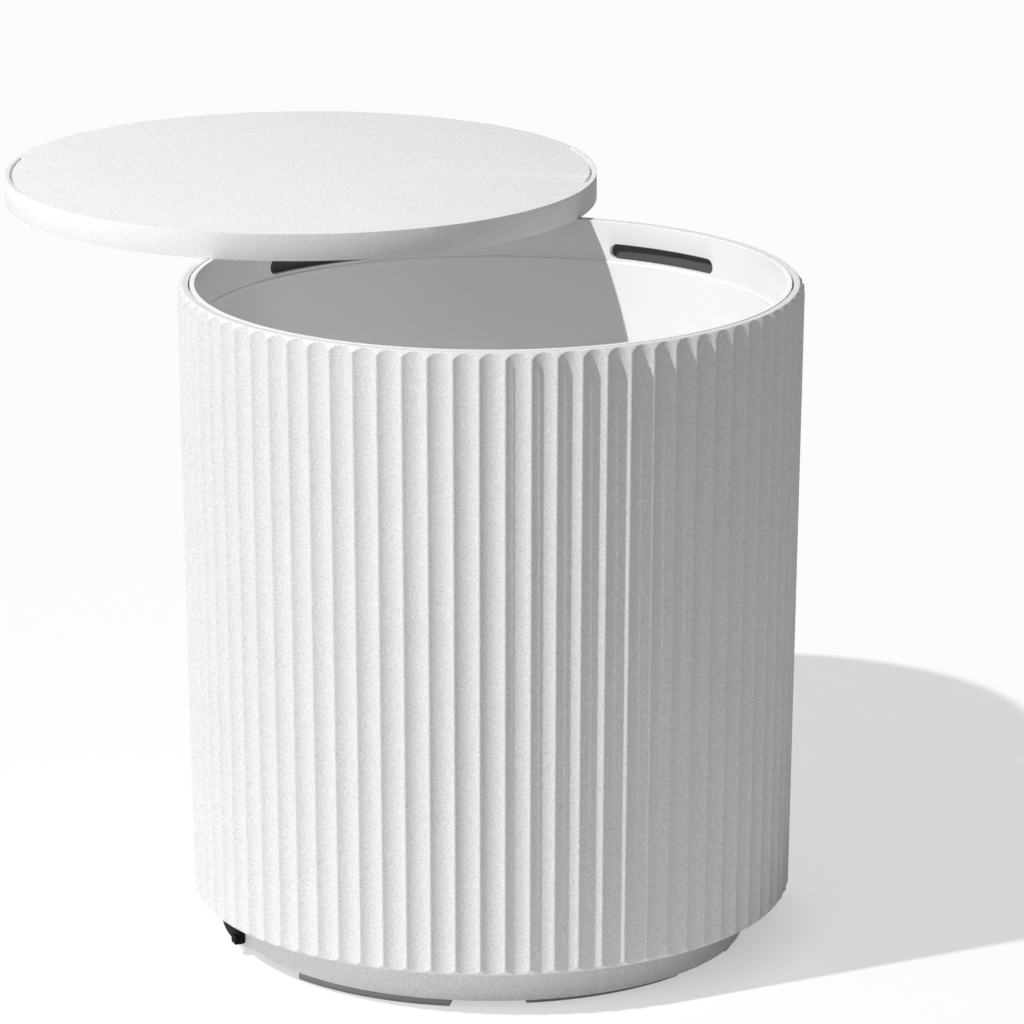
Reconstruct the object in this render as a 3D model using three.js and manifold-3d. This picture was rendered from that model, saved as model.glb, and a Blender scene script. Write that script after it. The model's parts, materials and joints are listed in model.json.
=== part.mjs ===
// Ice bucket coffee table: a fluted drum on a recessed round base, with a bucket that lifts
// out, a loose round top that lies on the rim, and a drain with a black cap at the foot.
// Millimetres, +Z up. Heights are measured from the underside of the base, and the origin is
// the centre of that underside. Bearings are degrees turned from +X towards +Y; the front of
// the table looks along -Y.

import * as THREE from 'three'
import { mergeVertices, mergeGeometries } from 'three/addons/utils/BufferGeometryUtils.js'
import Module from 'manifold-3d'

const wasm = await Module()
wasm.setup()

// Clearances and shared values
const seatGap = 0.3
const overrun = 10
const roundSegments = 60
const cupSegments = 36
const smallSegments = 18
const screwSegments = 8

// Drum shell
const rimRadius = 230
const rimHeight = 490.8
const drumFootRadius = 222.5
const drumFootHeight = 29.6
const fluteCount = 78
const fluteSteps = 6
const fluteDepth = 3.8
const frontFluteBearing = -89.6
const edgeBevelReach = 4.2
const edgeBevelHeight = 4.9
const shellWall = 8.5
const shellFloor = 8

// Base under the drum
const baseRadius = 188.5
const baseFloor = 5
const baseRingWidth = 26.6
const baseLowerRounding = 2
const baseRoundingSteps = 2

// Foot pads and their screws
const padSpan = 40
const padBearings = [0, 60, 120, 180, 241.3, 298.7]
const padShifts = [0, 0, 0, 0, 3.6, -4.4]
const padThickness = 4.9
const padInset = 3.6
const padWidth = 23
const padScrewSpread = 17
const padScrewRadius = 2
const padScrewHeadRadius = 4
const padScrewHeadHeight = 2.2
const padScrewSink = 1.4
const padScrewLength = 14.6

// Screws that hold the drum on the base
const drumScrewCount = 6
const drumScrewRadius = 2.2
const drumScrewHeadRadius = 4.5
const drumScrewHeadHeight = 3
const drumScrewRecess = 12
const drumScrewGrip = 5.4

// Bucket
const bucketClearance = 1.3
const bucketWall = 3.5
const bucketLipRounding = 1.2
const bucketCollarDepth = 30.5
const bucketCollarStep = 1.2
const bucketFootRadius = 199.5
const bucketCornerRounding = 14
const bucketCornerSteps = 3
const bucketFloor = 4
const bucketFloorFall = 3
const sumpRadius = 34
const sumpSlope = 2
const sumpDepth = 6
const slotDepth = 16.5
const slotHeight = 12
const slotWidth = 96
const slotBearings = [52.7, 127.3, -52.7, -127.3]

// Ring that the bucket stands on
const restRingOuterRadius = 165
const restRingInnerRadius = 150
const restRingThickness = 3

// Drain fitting in the bucket and its stopper
const drainBoreRadius = 9
const drainTubeWall = 3
const drainFlangeRadius = 20
const drainFlangeThickness = 2.2
const drainGasketThickness = 1.5
const drainNutRadius = 17
const drainNutHeight = 6
const drainTubeDrop = 4
const stopperPlugLength = 12
const stopperTaper = 0.8
const stopperHeadRadius = 14
const stopperHeadThickness = 3.5
const stopperNeckRadius = 4
const stopperKnobRadius = 7
const stopperKnobHeight = 12

// Cup under the drain, sunk into the floor of the drum
const cupRadius = 43
const cupWall = 2.5
const cupFlangeWidth = 9
const cupFlangeThickness = 2
const cupFloorHeight = 9
const cupFloorRadius = 30
const cupTaperHeight = 13

// Drain line from the cup to the side of the base
const outletBearing = 191
const outletHeight = 17.5
const spoutRadius = 7.4
const spoutWall = 1.6
const spoutReach = 19
const pipeWall = 1.7
const clipThickness = 1.2
const clipWidth = 7
const clipInset = 5
const fittingRadius = 9
const fittingBoreRadius = 7
const fittingFlangeRadius = 11
const fittingFlangeThickness = 2.5
const fittingGasketThickness = 1.5
const fittingSeatDepth = 1

// Boss on the side of the base and the cap that closes the drain
const bossReach = 7.5
const bossHalfSpan = 11.6
const bossFlankSpan = 6
const bossRoot = 3
const capHalfSpan = 11.3
const capThickness = 5.5
const capHeight = 22.5
const capLift = 4.8
const capPlugLength = 14
const capTabSpan = 2.7
const capTabReach = 2.4
const capTabHeight = 6

// Table top, drawn off the drum to the back left as it lies when the bucket is in use
const topRadius = 228.5
const topThickness = 20.4
const topRounding = 1.6
const topRoundingSteps = 2
const topShiftX = -147.45
const topShiftY = 290.14
const topTurn = 5.3
const grooveRadius = 224
const grooveWidth = 2.2
const grooveDepth = 3
const grooveHalfSpan = 17

// Sizes that follow from the ones above
const shellRimInside = rimRadius - shellWall
const shellFootInside = drumFootRadius - shellWall
const shellFloorTop = drumFootHeight + shellFloor
const baseTop = drumFootHeight - seatGap
const baseRingInside = baseRadius - baseRingWidth
const bossRadius = baseRadius + bossReach
const padOuterRadius = baseRadius - padInset
const padInnerRadius = padOuterRadius - padWidth
const padMiddleRadius = padOuterRadius - padWidth / 2
const bucketRadius = shellRimInside - bucketClearance
const bucketUnderside = shellFloorTop + restRingThickness + 2 * seatGap
const sumpUnderside = bucketUnderside - sumpDepth
const sumpTop = sumpUnderside + bucketFloor
const drainTubeRadius = drainBoreRadius + drainTubeWall
const drainGasketTop = sumpTop + seatGap + drainGasketThickness
const drainFlangeTop = drainGasketTop + seatGap + drainFlangeThickness
const drainNutBottom = sumpUnderside - seatGap - drainNutHeight
const cupFlangeTop = shellFloorTop + seatGap + cupFlangeThickness
const pipeInside = spoutRadius + seatGap
const pipeRadius = pipeInside + pipeWall
const pipeStart = cupRadius + cupWall
const fittingSeat = baseRingInside + fittingSeatDepth
const fittingGasketStart = fittingSeat - seatGap - fittingGasketThickness
const fittingFlangeStart = fittingGasketStart - seatGap - fittingFlangeThickness
const pipeEnd = fittingFlangeStart - seatGap

const colours = {
  stone: new THREE.Color(0xf1f1ef),
  moulding: new THREE.Color(0xf5f6f6),
  rubber: new THREE.Color(0x3b3b3b),
  black: new THREE.Color(0x101010),
  grey: new THREE.Color(0xb8bbbd),
  steel: new THREE.Color(0xa9acaf),
}

const radians = (degrees) => THREE.MathUtils.degToRad(degrees)

function material(colour, roughness, metalness) {
  return new THREE.MeshStandardMaterial({ color: colours[colour], roughness, metalness })
}

// Solids and cuts

// Drops the triangles that a revolved profile leaves without area on its axis
function closedGeometry(geometry) {
  const bare = geometry.index ? geometry.clone() : geometry
  bare.deleteAttribute('normal')
  bare.deleteAttribute('uv')
  const merged = mergeVertices(bare)
  const corners = merged.index.array
  const kept = []
  for (let first = 0; first < corners.length; first += 3) {
    const [a, b, c] = corners.slice(first, first + 3)
    if (a !== b && b !== c && c !== a) kept.push(a, b, c)
  }
  merged.setIndex(kept)
  return merged
}

function toSolid(geometry) {
  const closed = closedGeometry(geometry)
  const mesh = new wasm.Mesh({
    numProp: 3,
    vertProperties: new Float32Array(closed.attributes.position.array),
    triVerts: new Uint32Array(closed.index.array),
  })
  return new wasm.Manifold(mesh)
}

function toGeometry(solid) {
  const mesh = solid.getMesh()
  const geometry = new THREE.BufferGeometry()
  geometry.setAttribute('position', new THREE.BufferAttribute(mesh.vertProperties, 3))
  geometry.setIndex(new THREE.BufferAttribute(mesh.triVerts, 1))
  geometry.computeVertexNormals()
  return geometry
}

// The first geometry, with the added ones joined to it and the cut ones taken away
function shaped(geometry, { added = [], cut = [] }) {
  let solid = toSolid(geometry)
  for (const piece of added) solid = solid.add(toSolid(piece))
  for (const piece of cut) solid = solid.subtract(toSolid(piece))
  return toGeometry(solid)
}

// A profile of [radius, height] points turned about the Z axis, listed anticlockwise
function revolved(points, segments = roundSegments) {
  const profile = points.map(([radius, height]) => new THREE.Vector2(radius, height))
  return new THREE.LatheGeometry(profile, segments).rotateX(Math.PI / 2)
}

function disc(radius, from, to, segments = smallSegments) {
  return revolved([[0, from], [radius, from], [radius, to], [0, to]], segments)
}

function ring(inner, outer, from, to, segments = smallSegments) {
  const corners = [[inner, from], [outer, from], [outer, to], [inner, to], [inner, from]]
  return revolved(corners, segments)
}

// Points of an arc about a centre, from one angle to another in degrees
function arc(centreRadius, centreHeight, radius, from, to, steps) {
  const points = []
  for (let step = 0; step <= steps; step += 1) {
    const angle = radians(from + ((to - from) * step) / steps)
    const across = centreRadius + radius * Math.cos(angle)
    points.push([across, centreHeight + radius * Math.sin(angle)])
  }
  return points
}

// A flat band between two radii, spread evenly to both sides of +X
function band(inner, outer, halfSpan, from, to, segments = screwSegments) {
  const turn = radians(halfSpan)
  const outline = new THREE.Shape()
  outline.absarc(0, 0, outer, -turn, turn, false)
  outline.absarc(0, 0, inner, turn, -turn, true)
  outline.closePath()
  const settings = { depth: to - from, bevelEnabled: false, curveSegments: segments }
  return new THREE.ExtrudeGeometry(outline, settings).translate(0, 0, from)
}

// A band with round ends, as a groove runs
function roundedBand(radius, width, halfSpan, from, to) {
  const half = width / 2
  const turn = radians(halfSpan)
  const endX = radius * Math.cos(turn)
  const endY = radius * Math.sin(turn)
  const outline = new THREE.Shape()
  outline.absarc(0, 0, radius + half, -turn, turn, false)
  outline.absarc(endX, endY, half, turn, turn + Math.PI, false)
  outline.absarc(0, 0, radius - half, turn, -turn, true)
  outline.absarc(endX, -endY, half, Math.PI - turn, 2 * Math.PI - turn, false)
  const settings = { depth: to - from, bevelEnabled: false, curveSegments: screwSegments }
  return new THREE.ExtrudeGeometry(outline, settings).translate(0, 0, from)
}

const turned = (geometry, bearing) => geometry.clone().rotateZ(radians(bearing))

// Lays a piece that was made along +Z along the drain line, which runs out along +X
const alongLine = (geometry) => geometry.rotateY(Math.PI / 2).translate(0, 0, outletHeight)

const bearingsOf = (count, first) => {
  return Array.from({ length: count }, (_, index) => first + (index * 360) / count)
}

// Drum shell

// Where the flute of a given depth runs into the bevelled edge, and on to the flat face.
// A ridge meets the bevel first and a valley last, so each flute ends in its own small arch.
function edgePoints(radius, height, dip, side) {
  const fall = edgeBevelHeight * (1 - dip / edgeBevelReach)
  return [[radius - dip, height - side * fall], [radius - edgeBevelReach, height]]
}

function flutedBlock() {
  const columns = fluteCount * fluteSteps
  const firstRidge = frontFluteBearing - 180 / fluteCount
  const positions = []
  for (let column = 0; column < columns; column += 1) {
    const share = (column % fluteSteps) / fluteSteps
    const dip = fluteDepth * (1 - (2 * share - 1) ** 2)
    const turn = radians(firstRidge + (column * 360) / columns)
    const lower = edgePoints(drumFootRadius, drumFootHeight, dip, -1)
    const upper = edgePoints(rimRadius, rimHeight, dip, 1)
    for (const [radius, height] of [...lower.reverse(), ...upper]) {
      positions.push(radius * Math.cos(turn), radius * Math.sin(turn), height)
    }
  }
  const rows = positions.length / 3 / columns
  const bottom = columns * rows
  const top = bottom + 1
  positions.push(0, 0, drumFootHeight, 0, 0, rimHeight)
  const faces = []
  for (let column = 0; column < columns; column += 1) {
    const here = column * rows
    const next = ((column + 1) % columns) * rows
    for (let row = 0; row + 1 < rows; row += 1) {
      faces.push(here + row, next + row, next + row + 1)
      faces.push(here + row, next + row + 1, here + row + 1)
    }
    faces.push(bottom, next, here)
    faces.push(top, here + rows - 1, next + rows - 1)
  }
  const geometry = new THREE.BufferGeometry()
  geometry.setAttribute('position', new THREE.Float32BufferAttribute(positions, 3))
  geometry.setIndex(faces)
  return geometry
}

const drumScrewCircle = baseRadius - baseRingWidth / 2
const drumScrewTop = drumFootHeight + drumScrewGrip

// Solids placed at each bearing on a circle, as one geometry
function onCircle(geometry, radius, bearings) {
  const moved = bearings.map((bearing) => turned(geometry.clone().translate(radius, 0, 0), bearing))
  return mergeGeometries(moved.map(closedGeometry))
}

const drumScrewBearings = bearingsOf(drumScrewCount, 180 / drumScrewCount)
const padScrewTurns = [-padScrewSpread, padScrewSpread]

// Geometry moved from +X to the place of one foot pad, which was set by hand
const atPad = (geometry, index) => {
  return turned(geometry.clone().translate(padShifts[index], 0, 0), padBearings[index])
}

function shellGeometry() {
  const cavity = revolved([
    [0, shellFloorTop],
    [shellFootInside, shellFloorTop],
    [shellRimInside, rimHeight],
    [shellRimInside, rimHeight + overrun],
    [0, rimHeight + overrun],
  ])
  const cupHole = disc(cupRadius + seatGap, drumFootHeight - overrun, rimHeight, cupSegments)
  const screwHole = disc(
    drumScrewRadius + seatGap,
    drumFootHeight - overrun,
    drumScrewTop + seatGap,
    screwSegments,
  )
  const screwHoles = onCircle(screwHole, drumScrewCircle, drumScrewBearings)
  return shaped(flutedBlock(), { cut: [cavity, cupHole, screwHoles] })
}

// Base and feet

// The boss that the drain cap lies on. Its flanks slant until they die away in the base's side.
function bossGeometry() {
  const turn = radians(bossHalfSpan)
  const foot = radians(bossHalfSpan + bossFlankSpan)
  const root = baseRadius - bossRoot
  const outline = new THREE.Shape()
  outline.moveTo(root * Math.cos(foot), -root * Math.sin(foot))
  outline.absarc(0, 0, bossRadius, -turn, turn, false)
  outline.lineTo(root * Math.cos(foot), root * Math.sin(foot))
  outline.closePath()
  const depth = baseTop - baseLowerRounding
  const settings = { depth, bevelEnabled: false, curveSegments: screwSegments }
  return new THREE.ExtrudeGeometry(outline, settings).translate(0, 0, baseLowerRounding)
}

function baseGeometry() {
  const dish = revolved([
    [0, 0],
    [baseRadius - baseLowerRounding, 0],
    ...arc(
      baseRadius - baseLowerRounding,
      baseLowerRounding,
      baseLowerRounding,
      -90,
      0,
      baseRoundingSteps,
    ).slice(1),
    [baseRadius, baseTop],
    [baseRingInside, baseTop],
    [baseRingInside, baseFloor],
    [0, baseFloor],
  ])
  const fittingHole = disc(fittingRadius + seatGap, baseRingInside - overrun, bossRadius + overrun)
  const fittingSeatCut = disc(fittingFlangeRadius + seatGap, baseRingInside - overrun, fittingSeat)
  const recess = disc(drumScrewHeadRadius + 2 * seatGap, -overrun, drumScrewRecess, screwSegments)
  const drumHole = disc(drumScrewRadius + seatGap, 0, drumFootHeight + overrun, screwSegments)
  const padHole = disc(padScrewRadius + seatGap, -overrun, padScrewTop + seatGap, screwSegments)
  const padHoles = onCircle(padHole, padMiddleRadius, padScrewTurns)
  return shaped(dish, {
    added: [turned(bossGeometry(), outletBearing)],
    cut: [
      turned(alongLine(fittingHole), outletBearing),
      turned(alongLine(fittingSeatCut), outletBearing),
      onCircle(recess, drumScrewCircle, drumScrewBearings),
      onCircle(drumHole, drumScrewCircle, drumScrewBearings),
      ...padBearings.map((_, index) => atPad(padHoles, index)),
    ],
  })
}

const padScrewBottom = padScrewSink - padThickness
const padScrewTop = padScrewBottom + padScrewLength

// A countersunk screw, or the hole for it when given a clearance
function countersunk(clearance, headBottom) {
  const coneTop = padScrewBottom + padScrewHeadHeight
  return revolved([
    [0, headBottom],
    [padScrewHeadRadius + clearance, headBottom],
    [padScrewHeadRadius + clearance, padScrewBottom],
    [padScrewRadius + clearance, coneTop],
    [padScrewRadius + clearance, padScrewTop],
    [0, padScrewTop],
  ], screwSegments)
}

function padGeometry() {
  const pad = band(padInnerRadius, padOuterRadius, padSpan / 2, -padThickness, -seatGap)
  const hole = countersunk(seatGap, -padThickness - overrun)
  return shaped(pad, { cut: [onCircle(hole, padMiddleRadius, padScrewTurns)] })
}

function padScrewGeometry() {
  return revolved([
    [0, padScrewBottom],
    [padScrewHeadRadius, padScrewBottom],
    [padScrewRadius, padScrewBottom + padScrewHeadHeight],
    [padScrewRadius, padScrewTop],
    [0, padScrewTop],
  ], screwSegments).translate(padMiddleRadius, 0, 0)
}

function drumScrewGeometry() {
  const headTop = drumScrewRecess - seatGap
  return revolved([
    [0, headTop - drumScrewHeadHeight],
    [drumScrewHeadRadius, headTop - drumScrewHeadHeight],
    [drumScrewHeadRadius, headTop],
    [drumScrewRadius, headTop],
    [drumScrewRadius, drumScrewTop],
    [0, drumScrewTop],
  ], screwSegments).translate(drumScrewCircle, 0, 0)
}

// Bucket

function bucketGeometry() {
  const collarBottom = rimHeight - bucketCollarDepth
  const insideRadius = bucketRadius - bucketWall
  const insideFoot = bucketFootRadius - bucketWall
  const insideRounding = bucketCornerRounding - bucketWall
  const floorTop = bucketUnderside + bucketFloor
  const floorEdge = floorTop + bucketFloorFall
  const holeRadius = drainTubeRadius + seatGap
  const tub = revolved([
    [holeRadius, sumpUnderside],
    [sumpRadius, sumpUnderside],
    [sumpRadius + sumpSlope, bucketUnderside],
    ...arc(
      bucketFootRadius - bucketCornerRounding,
      bucketUnderside + bucketCornerRounding,
      bucketCornerRounding,
      -90,
      0,
      bucketCornerSteps,
    ),
    [bucketRadius - bucketCollarStep, collarBottom - bucketCollarStep],
    [bucketRadius, collarBottom],
    [bucketRadius, rimHeight],
    ...arc(
      insideRadius + bucketLipRounding,
      rimHeight - bucketLipRounding,
      bucketLipRounding,
      90,
      180,
      baseRoundingSteps,
    ),
    [insideRadius, collarBottom],
    [insideRadius - bucketCollarStep, collarBottom - bucketCollarStep],
    ...arc(
      insideFoot - insideRounding,
      floorEdge + insideRounding,
      insideRounding,
      0,
      -90,
      bucketCornerSteps,
    ),
    [sumpRadius, floorTop],
    [sumpRadius - sumpSlope, sumpTop],
    [holeRadius, sumpTop],
    [holeRadius, sumpUnderside],
  ])
  const slot = slotCutter()
  return shaped(tub, { cut: slotBearings.map((bearing) => turned(slot, bearing)) })
}

// A long hole with round ends, cut outward through the wall of the bucket
function slotCutter() {
  const half = slotHeight / 2
  const straight = slotWidth / 2 - half
  const outline = new THREE.Shape()
  outline.absarc(straight, 0, half, -Math.PI / 2, Math.PI / 2, false)
  outline.absarc(-straight, 0, half, Math.PI / 2, (3 * Math.PI) / 2, false)
  const chordDepth = bucketRadius - Math.sqrt(bucketRadius ** 2 - (slotWidth / 2) ** 2)
  const start = bucketRadius - bucketWall - chordDepth - overrun
  const settings = { depth: overrun * 2 + chordDepth, bevelEnabled: false, curveSegments: 6 }
  const cutter = new THREE.ExtrudeGeometry(outline, settings)
  const middle = rimHeight - slotDepth - half
  return cutter.rotateX(Math.PI / 2).rotateZ(Math.PI / 2).translate(start, 0, middle)
}

// Drain fitting of the bucket

function drainFlangeGeometry() {
  const bottom = drainGasketTop + seatGap
  const tubeBottom = drainNutBottom - drainTubeDrop
  return revolved([
    [drainBoreRadius, tubeBottom],
    [drainTubeRadius, tubeBottom],
    [drainTubeRadius, bottom],
    [drainFlangeRadius, bottom],
    [drainFlangeRadius, drainFlangeTop],
    [drainBoreRadius, drainFlangeTop],
    [drainBoreRadius, tubeBottom],
  ], smallSegments)
}

function drainNutGeometry() {
  const blank = disc(drainNutRadius, drainNutBottom, drainNutBottom + drainNutHeight, 6)
  return shaped(blank, { cut: [disc(drainTubeRadius + seatGap, 0, rimHeight)] })
}

function stopperGeometry() {
  const headBottom = drainFlangeTop + seatGap
  const headTop = headBottom + stopperHeadThickness
  const plugRadius = drainBoreRadius - seatGap
  return revolved([
    [0, headBottom - stopperPlugLength],
    [plugRadius - stopperTaper, headBottom - stopperPlugLength],
    [plugRadius, headBottom],
    [stopperHeadRadius, headBottom],
    [stopperHeadRadius, headTop],
    [stopperNeckRadius, headTop],
    [stopperNeckRadius, headTop + stopperKnobHeight / 2],
    [stopperKnobRadius, headTop + stopperKnobHeight / 2],
    [stopperKnobRadius, headTop + stopperKnobHeight],
    [0, headTop + stopperKnobHeight],
  ], smallSegments)
}

// Drain line

function cupGeometry() {
  const taperTop = cupFloorHeight + cupTaperHeight
  const bowl = revolved([
    [0, cupFloorHeight],
    [cupFloorRadius, cupFloorHeight],
    [cupRadius, taperTop],
    [cupRadius, shellFloorTop + seatGap],
    [cupRadius + cupFlangeWidth, shellFloorTop + seatGap],
    [cupRadius + cupFlangeWidth, cupFlangeTop],
    [cupRadius - cupWall, cupFlangeTop],
    [cupRadius - cupWall, taperTop],
    [cupFloorRadius - cupWall, cupFloorHeight + cupWall],
    [0, cupFloorHeight + cupWall],
  ], cupSegments)
  const spoutEnd = pipeStart + spoutReach
  const spout = alongLine(disc(spoutRadius, cupFloorRadius, spoutEnd))
  const bore = alongLine(disc(spoutRadius - spoutWall, cupFloorRadius - overrun, spoutEnd + overrun))
  return shaped(bowl, { added: [spout], cut: [bore] })
}

function pipeClipGeometry(from) {
  const inner = pipeRadius + seatGap
  return alongLine(ring(inner, inner + clipThickness, from, from + clipWidth))
}

function fittingGeometry() {
  const barbBore = spoutRadius - spoutWall
  const plugDepth = bossRadius - capPlugLength - seatGap * 2
  return alongLine(revolved([
    [barbBore, pipeEnd - spoutReach],
    [spoutRadius, pipeEnd - spoutReach],
    [spoutRadius, fittingFlangeStart],
    [fittingFlangeRadius, fittingFlangeStart],
    [fittingFlangeRadius, fittingFlangeStart + fittingFlangeThickness],
    [fittingRadius, fittingFlangeStart + fittingFlangeThickness],
    [fittingRadius, bossRadius - seatGap],
    [fittingBoreRadius, bossRadius - seatGap],
    [fittingBoreRadius, plugDepth],
    [barbBore, plugDepth - fittingBoreRadius + barbBore],
    [barbBore, pipeEnd - spoutReach],
  ], smallSegments))
}

// The cap follows the round of the boss; its plug fills the bore and its tab takes a finger
function capGeometry() {
  const inner = bossRadius + seatGap
  const outer = inner + capThickness
  const plate = band(inner, outer, capHalfSpan, capLift, capLift + capHeight)
  const plug = alongLine(disc(fittingBoreRadius - seatGap, bossRadius - capPlugLength, outer - seatGap))
  const tabOuter = outer + capTabReach
  const tab = band(inner + seatGap, tabOuter, capTabSpan / 2, capLift, capLift + capTabHeight)
  return shaped(plate, { added: [plug, turned(tab, capHalfSpan - capTabSpan / 2)] })
}

// Table top

function topGeometry() {
  const edge = topRadius - topRounding
  const slab = revolved([
    [0, 0],
    [edge, 0],
    ...arc(edge, topRounding, topRounding, -90, 0, topRoundingSteps).slice(1),
    ...arc(edge, topThickness - topRounding, topRounding, 0, 90, topRoundingSteps),
    [0, topThickness],
  ])
  const from = topThickness - grooveDepth
  const groove = roundedBand(grooveRadius, grooveWidth, grooveHalfSpan, from, topThickness + overrun)
  return shaped(slab, { cut: [groove, turned(groove, 180)] })
}

// Assembly

function piece(parent, name, geometry, finish) {
  const mesh = new THREE.Mesh(geometry, finish)
  mesh.name = name
  parent.add(mesh)
  return mesh
}

const table = new THREE.Group()
const stand = new THREE.Group()
const drainLine = new THREE.Group()
const bucket = new THREE.Group()
const top = new THREE.Group()
table.add(stand, drainLine, bucket, top)

// One mesh for each bearing, numbered from one
function pieces(parent, name, geometry, finish, bearings) {
  bearings.forEach((bearing, index) => {
    piece(parent, `${name}_${index + 1}`, geometry, finish).rotation.z = radians(bearing)
  })
}

piece(stand, 'fluted_shell', shellGeometry(), material('stone', 0.85, 0))
piece(stand, 'round_base', baseGeometry(), material('stone', 0.85, 0))
const pad = padGeometry()
const padScrew = padScrewGeometry()
padBearings.forEach((_, index) => {
  piece(stand, `foot_pad_${index + 1}`, atPad(pad, index), material('rubber', 0.8, 0))
  padScrewTurns.forEach((turn, side) => {
    const name = `foot_pad_screw_${padScrewTurns.length * index + side + 1}`
    piece(stand, name, atPad(turned(padScrew, turn), index), material('steel', 0.35, 1))
  })
})
pieces(stand, 'drum_screw', drumScrewGeometry(), material('steel', 0.35, 1), drumScrewBearings)
const restRing = ring(restRingInnerRadius, restRingOuterRadius, 0, restRingThickness, roundSegments)
const restRingMesh = piece(stand, 'bucket_rest_ring', restRing, material('rubber', 0.9, 0))
restRingMesh.position.z = shellFloorTop + seatGap

drainLine.rotation.z = radians(outletBearing)
piece(drainLine, 'drain_cup', cupGeometry(), material('grey', 0.5, 0))
const pipe = alongLine(ring(pipeInside, pipeRadius, pipeStart, pipeEnd))
piece(drainLine, 'drain_pipe', pipe, material('grey', 0.5, 0))
const clipStarts = [pipeStart + clipInset, pipeEnd - clipInset - clipWidth]
clipStarts.forEach((from, index) => {
  piece(drainLine, `pipe_clip_${index + 1}`, pipeClipGeometry(from), material('steel', 0.35, 1))
})
piece(drainLine, 'outlet_fitting', fittingGeometry(), material('black', 0.5, 0))
const gasketFrom = fittingGasketStart
const gasketTo = gasketFrom + fittingGasketThickness
const outletGasket = alongLine(ring(fittingRadius + seatGap, fittingFlangeRadius, gasketFrom, gasketTo))
piece(drainLine, 'outlet_gasket', outletGasket, material('rubber', 0.8, 0))
piece(drainLine, 'drain_cap', capGeometry(), material('black', 0.45, 0))

piece(bucket, 'ice_bucket', bucketGeometry(), material('moulding', 0.4, 0))
const gasketStart = sumpTop + seatGap
const bucketGasket = ring(drainTubeRadius + seatGap, drainFlangeRadius, gasketStart, drainGasketTop)
piece(bucket, 'drain_gasket', bucketGasket, material('rubber', 0.8, 0))
piece(bucket, 'drain_flange', drainFlangeGeometry(), material('moulding', 0.4, 0))
piece(bucket, 'drain_nut', drainNutGeometry(), material('moulding', 0.4, 0))
piece(bucket, 'drain_stopper', stopperGeometry(), material('rubber', 0.7, 0))

top.position.set(topShiftX, topShiftY, rimHeight + seatGap)
top.rotation.z = radians(topTurn)
piece(top, 'table_top', topGeometry(), material('stone', 0.8, 0))

export default table
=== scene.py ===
# Looks of the ice bucket coffee table: a speckled stone composite drum, base and top, a white
# moulded bucket, a black rubber drain cap and grey rubber feet, under one sun and a soft sky.

import json
import math

import bpy
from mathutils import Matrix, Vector


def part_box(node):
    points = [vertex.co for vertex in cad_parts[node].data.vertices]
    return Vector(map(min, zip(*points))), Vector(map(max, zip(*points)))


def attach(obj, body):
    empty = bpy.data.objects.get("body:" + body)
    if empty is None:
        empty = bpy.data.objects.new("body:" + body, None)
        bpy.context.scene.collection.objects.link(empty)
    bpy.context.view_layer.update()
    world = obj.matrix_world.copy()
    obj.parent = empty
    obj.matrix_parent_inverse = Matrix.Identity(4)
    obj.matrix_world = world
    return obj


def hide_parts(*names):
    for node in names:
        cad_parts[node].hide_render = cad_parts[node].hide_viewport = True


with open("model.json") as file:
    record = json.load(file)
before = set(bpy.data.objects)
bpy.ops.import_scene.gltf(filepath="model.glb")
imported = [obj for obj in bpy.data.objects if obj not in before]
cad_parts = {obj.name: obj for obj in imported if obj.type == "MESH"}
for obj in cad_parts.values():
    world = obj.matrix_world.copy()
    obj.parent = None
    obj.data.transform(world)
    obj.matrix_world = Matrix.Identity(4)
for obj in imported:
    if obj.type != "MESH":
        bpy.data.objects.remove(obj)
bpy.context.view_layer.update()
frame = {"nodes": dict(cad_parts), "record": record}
bpy.ops.object.select_all(action="DESELECT")

MM = 0.001

# Places that the frame gives
shell_low, shell_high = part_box("fluted_shell")
_, base_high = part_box("round_base")
bucket_low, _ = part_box("ice_bucket")
top_low, top_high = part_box("table_top")
pad_low, pad_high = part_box("foot_pad_1")
stopper_low, stopper_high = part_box("drain_stopper")
flange_low, flange_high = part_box("drain_flange")
rest_low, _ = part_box("bucket_rest_ring")

rim_height = shell_high.z
drum_foot_height = shell_low.z
floor_height = pad_low.z
top_centre = (top_low + top_high) / 2
top_radius = (top_high.x - top_low.x) / 2
seat_gap = 0.3 * MM

# Drum
rim_radius = 230 * MM
drum_foot_radius = 222.5 * MM
flute_count = 78
flute_depth = 3.8 * MM
front_flute_bearing = -89.6
bevel_reach = 4.2 * MM
bevel_height = 4.9 * MM
corner_softness = 0.45 * MM
edge_flat = 1 * MM
shell_wall = 8.5 * MM
shell_floor_top = rest_low.z - seat_gap
rim_inside = rim_radius - shell_wall
foot_inside = drum_foot_radius - shell_wall
foot_flat = drum_foot_radius - bevel_reach - edge_flat
rim_flat = rim_radius - bevel_reach - edge_flat
cup_hole = 43.3 * MM

# The dark inside of the drum: how far under the rim it starts, and how far it reaches
# into the wall and into the floor
dark_inside_depth = 9 * MM
dark_inside_reach = 2 * MM
dark_inside_under_floor = 1 * MM

# Places from a ridge to the middle of a flute, closer together on the rounded ridge
half_flute_shares = [
    *(0, 0.035, 0.07, 0.1, 0.15, 0.21, 0.28, 0.35),
    *(0.42, 0.49, 0.56, 0.63, 0.7, 0.78, 0.86, 0.93),
]
ridge_radius = 1.3 * MM

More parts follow.
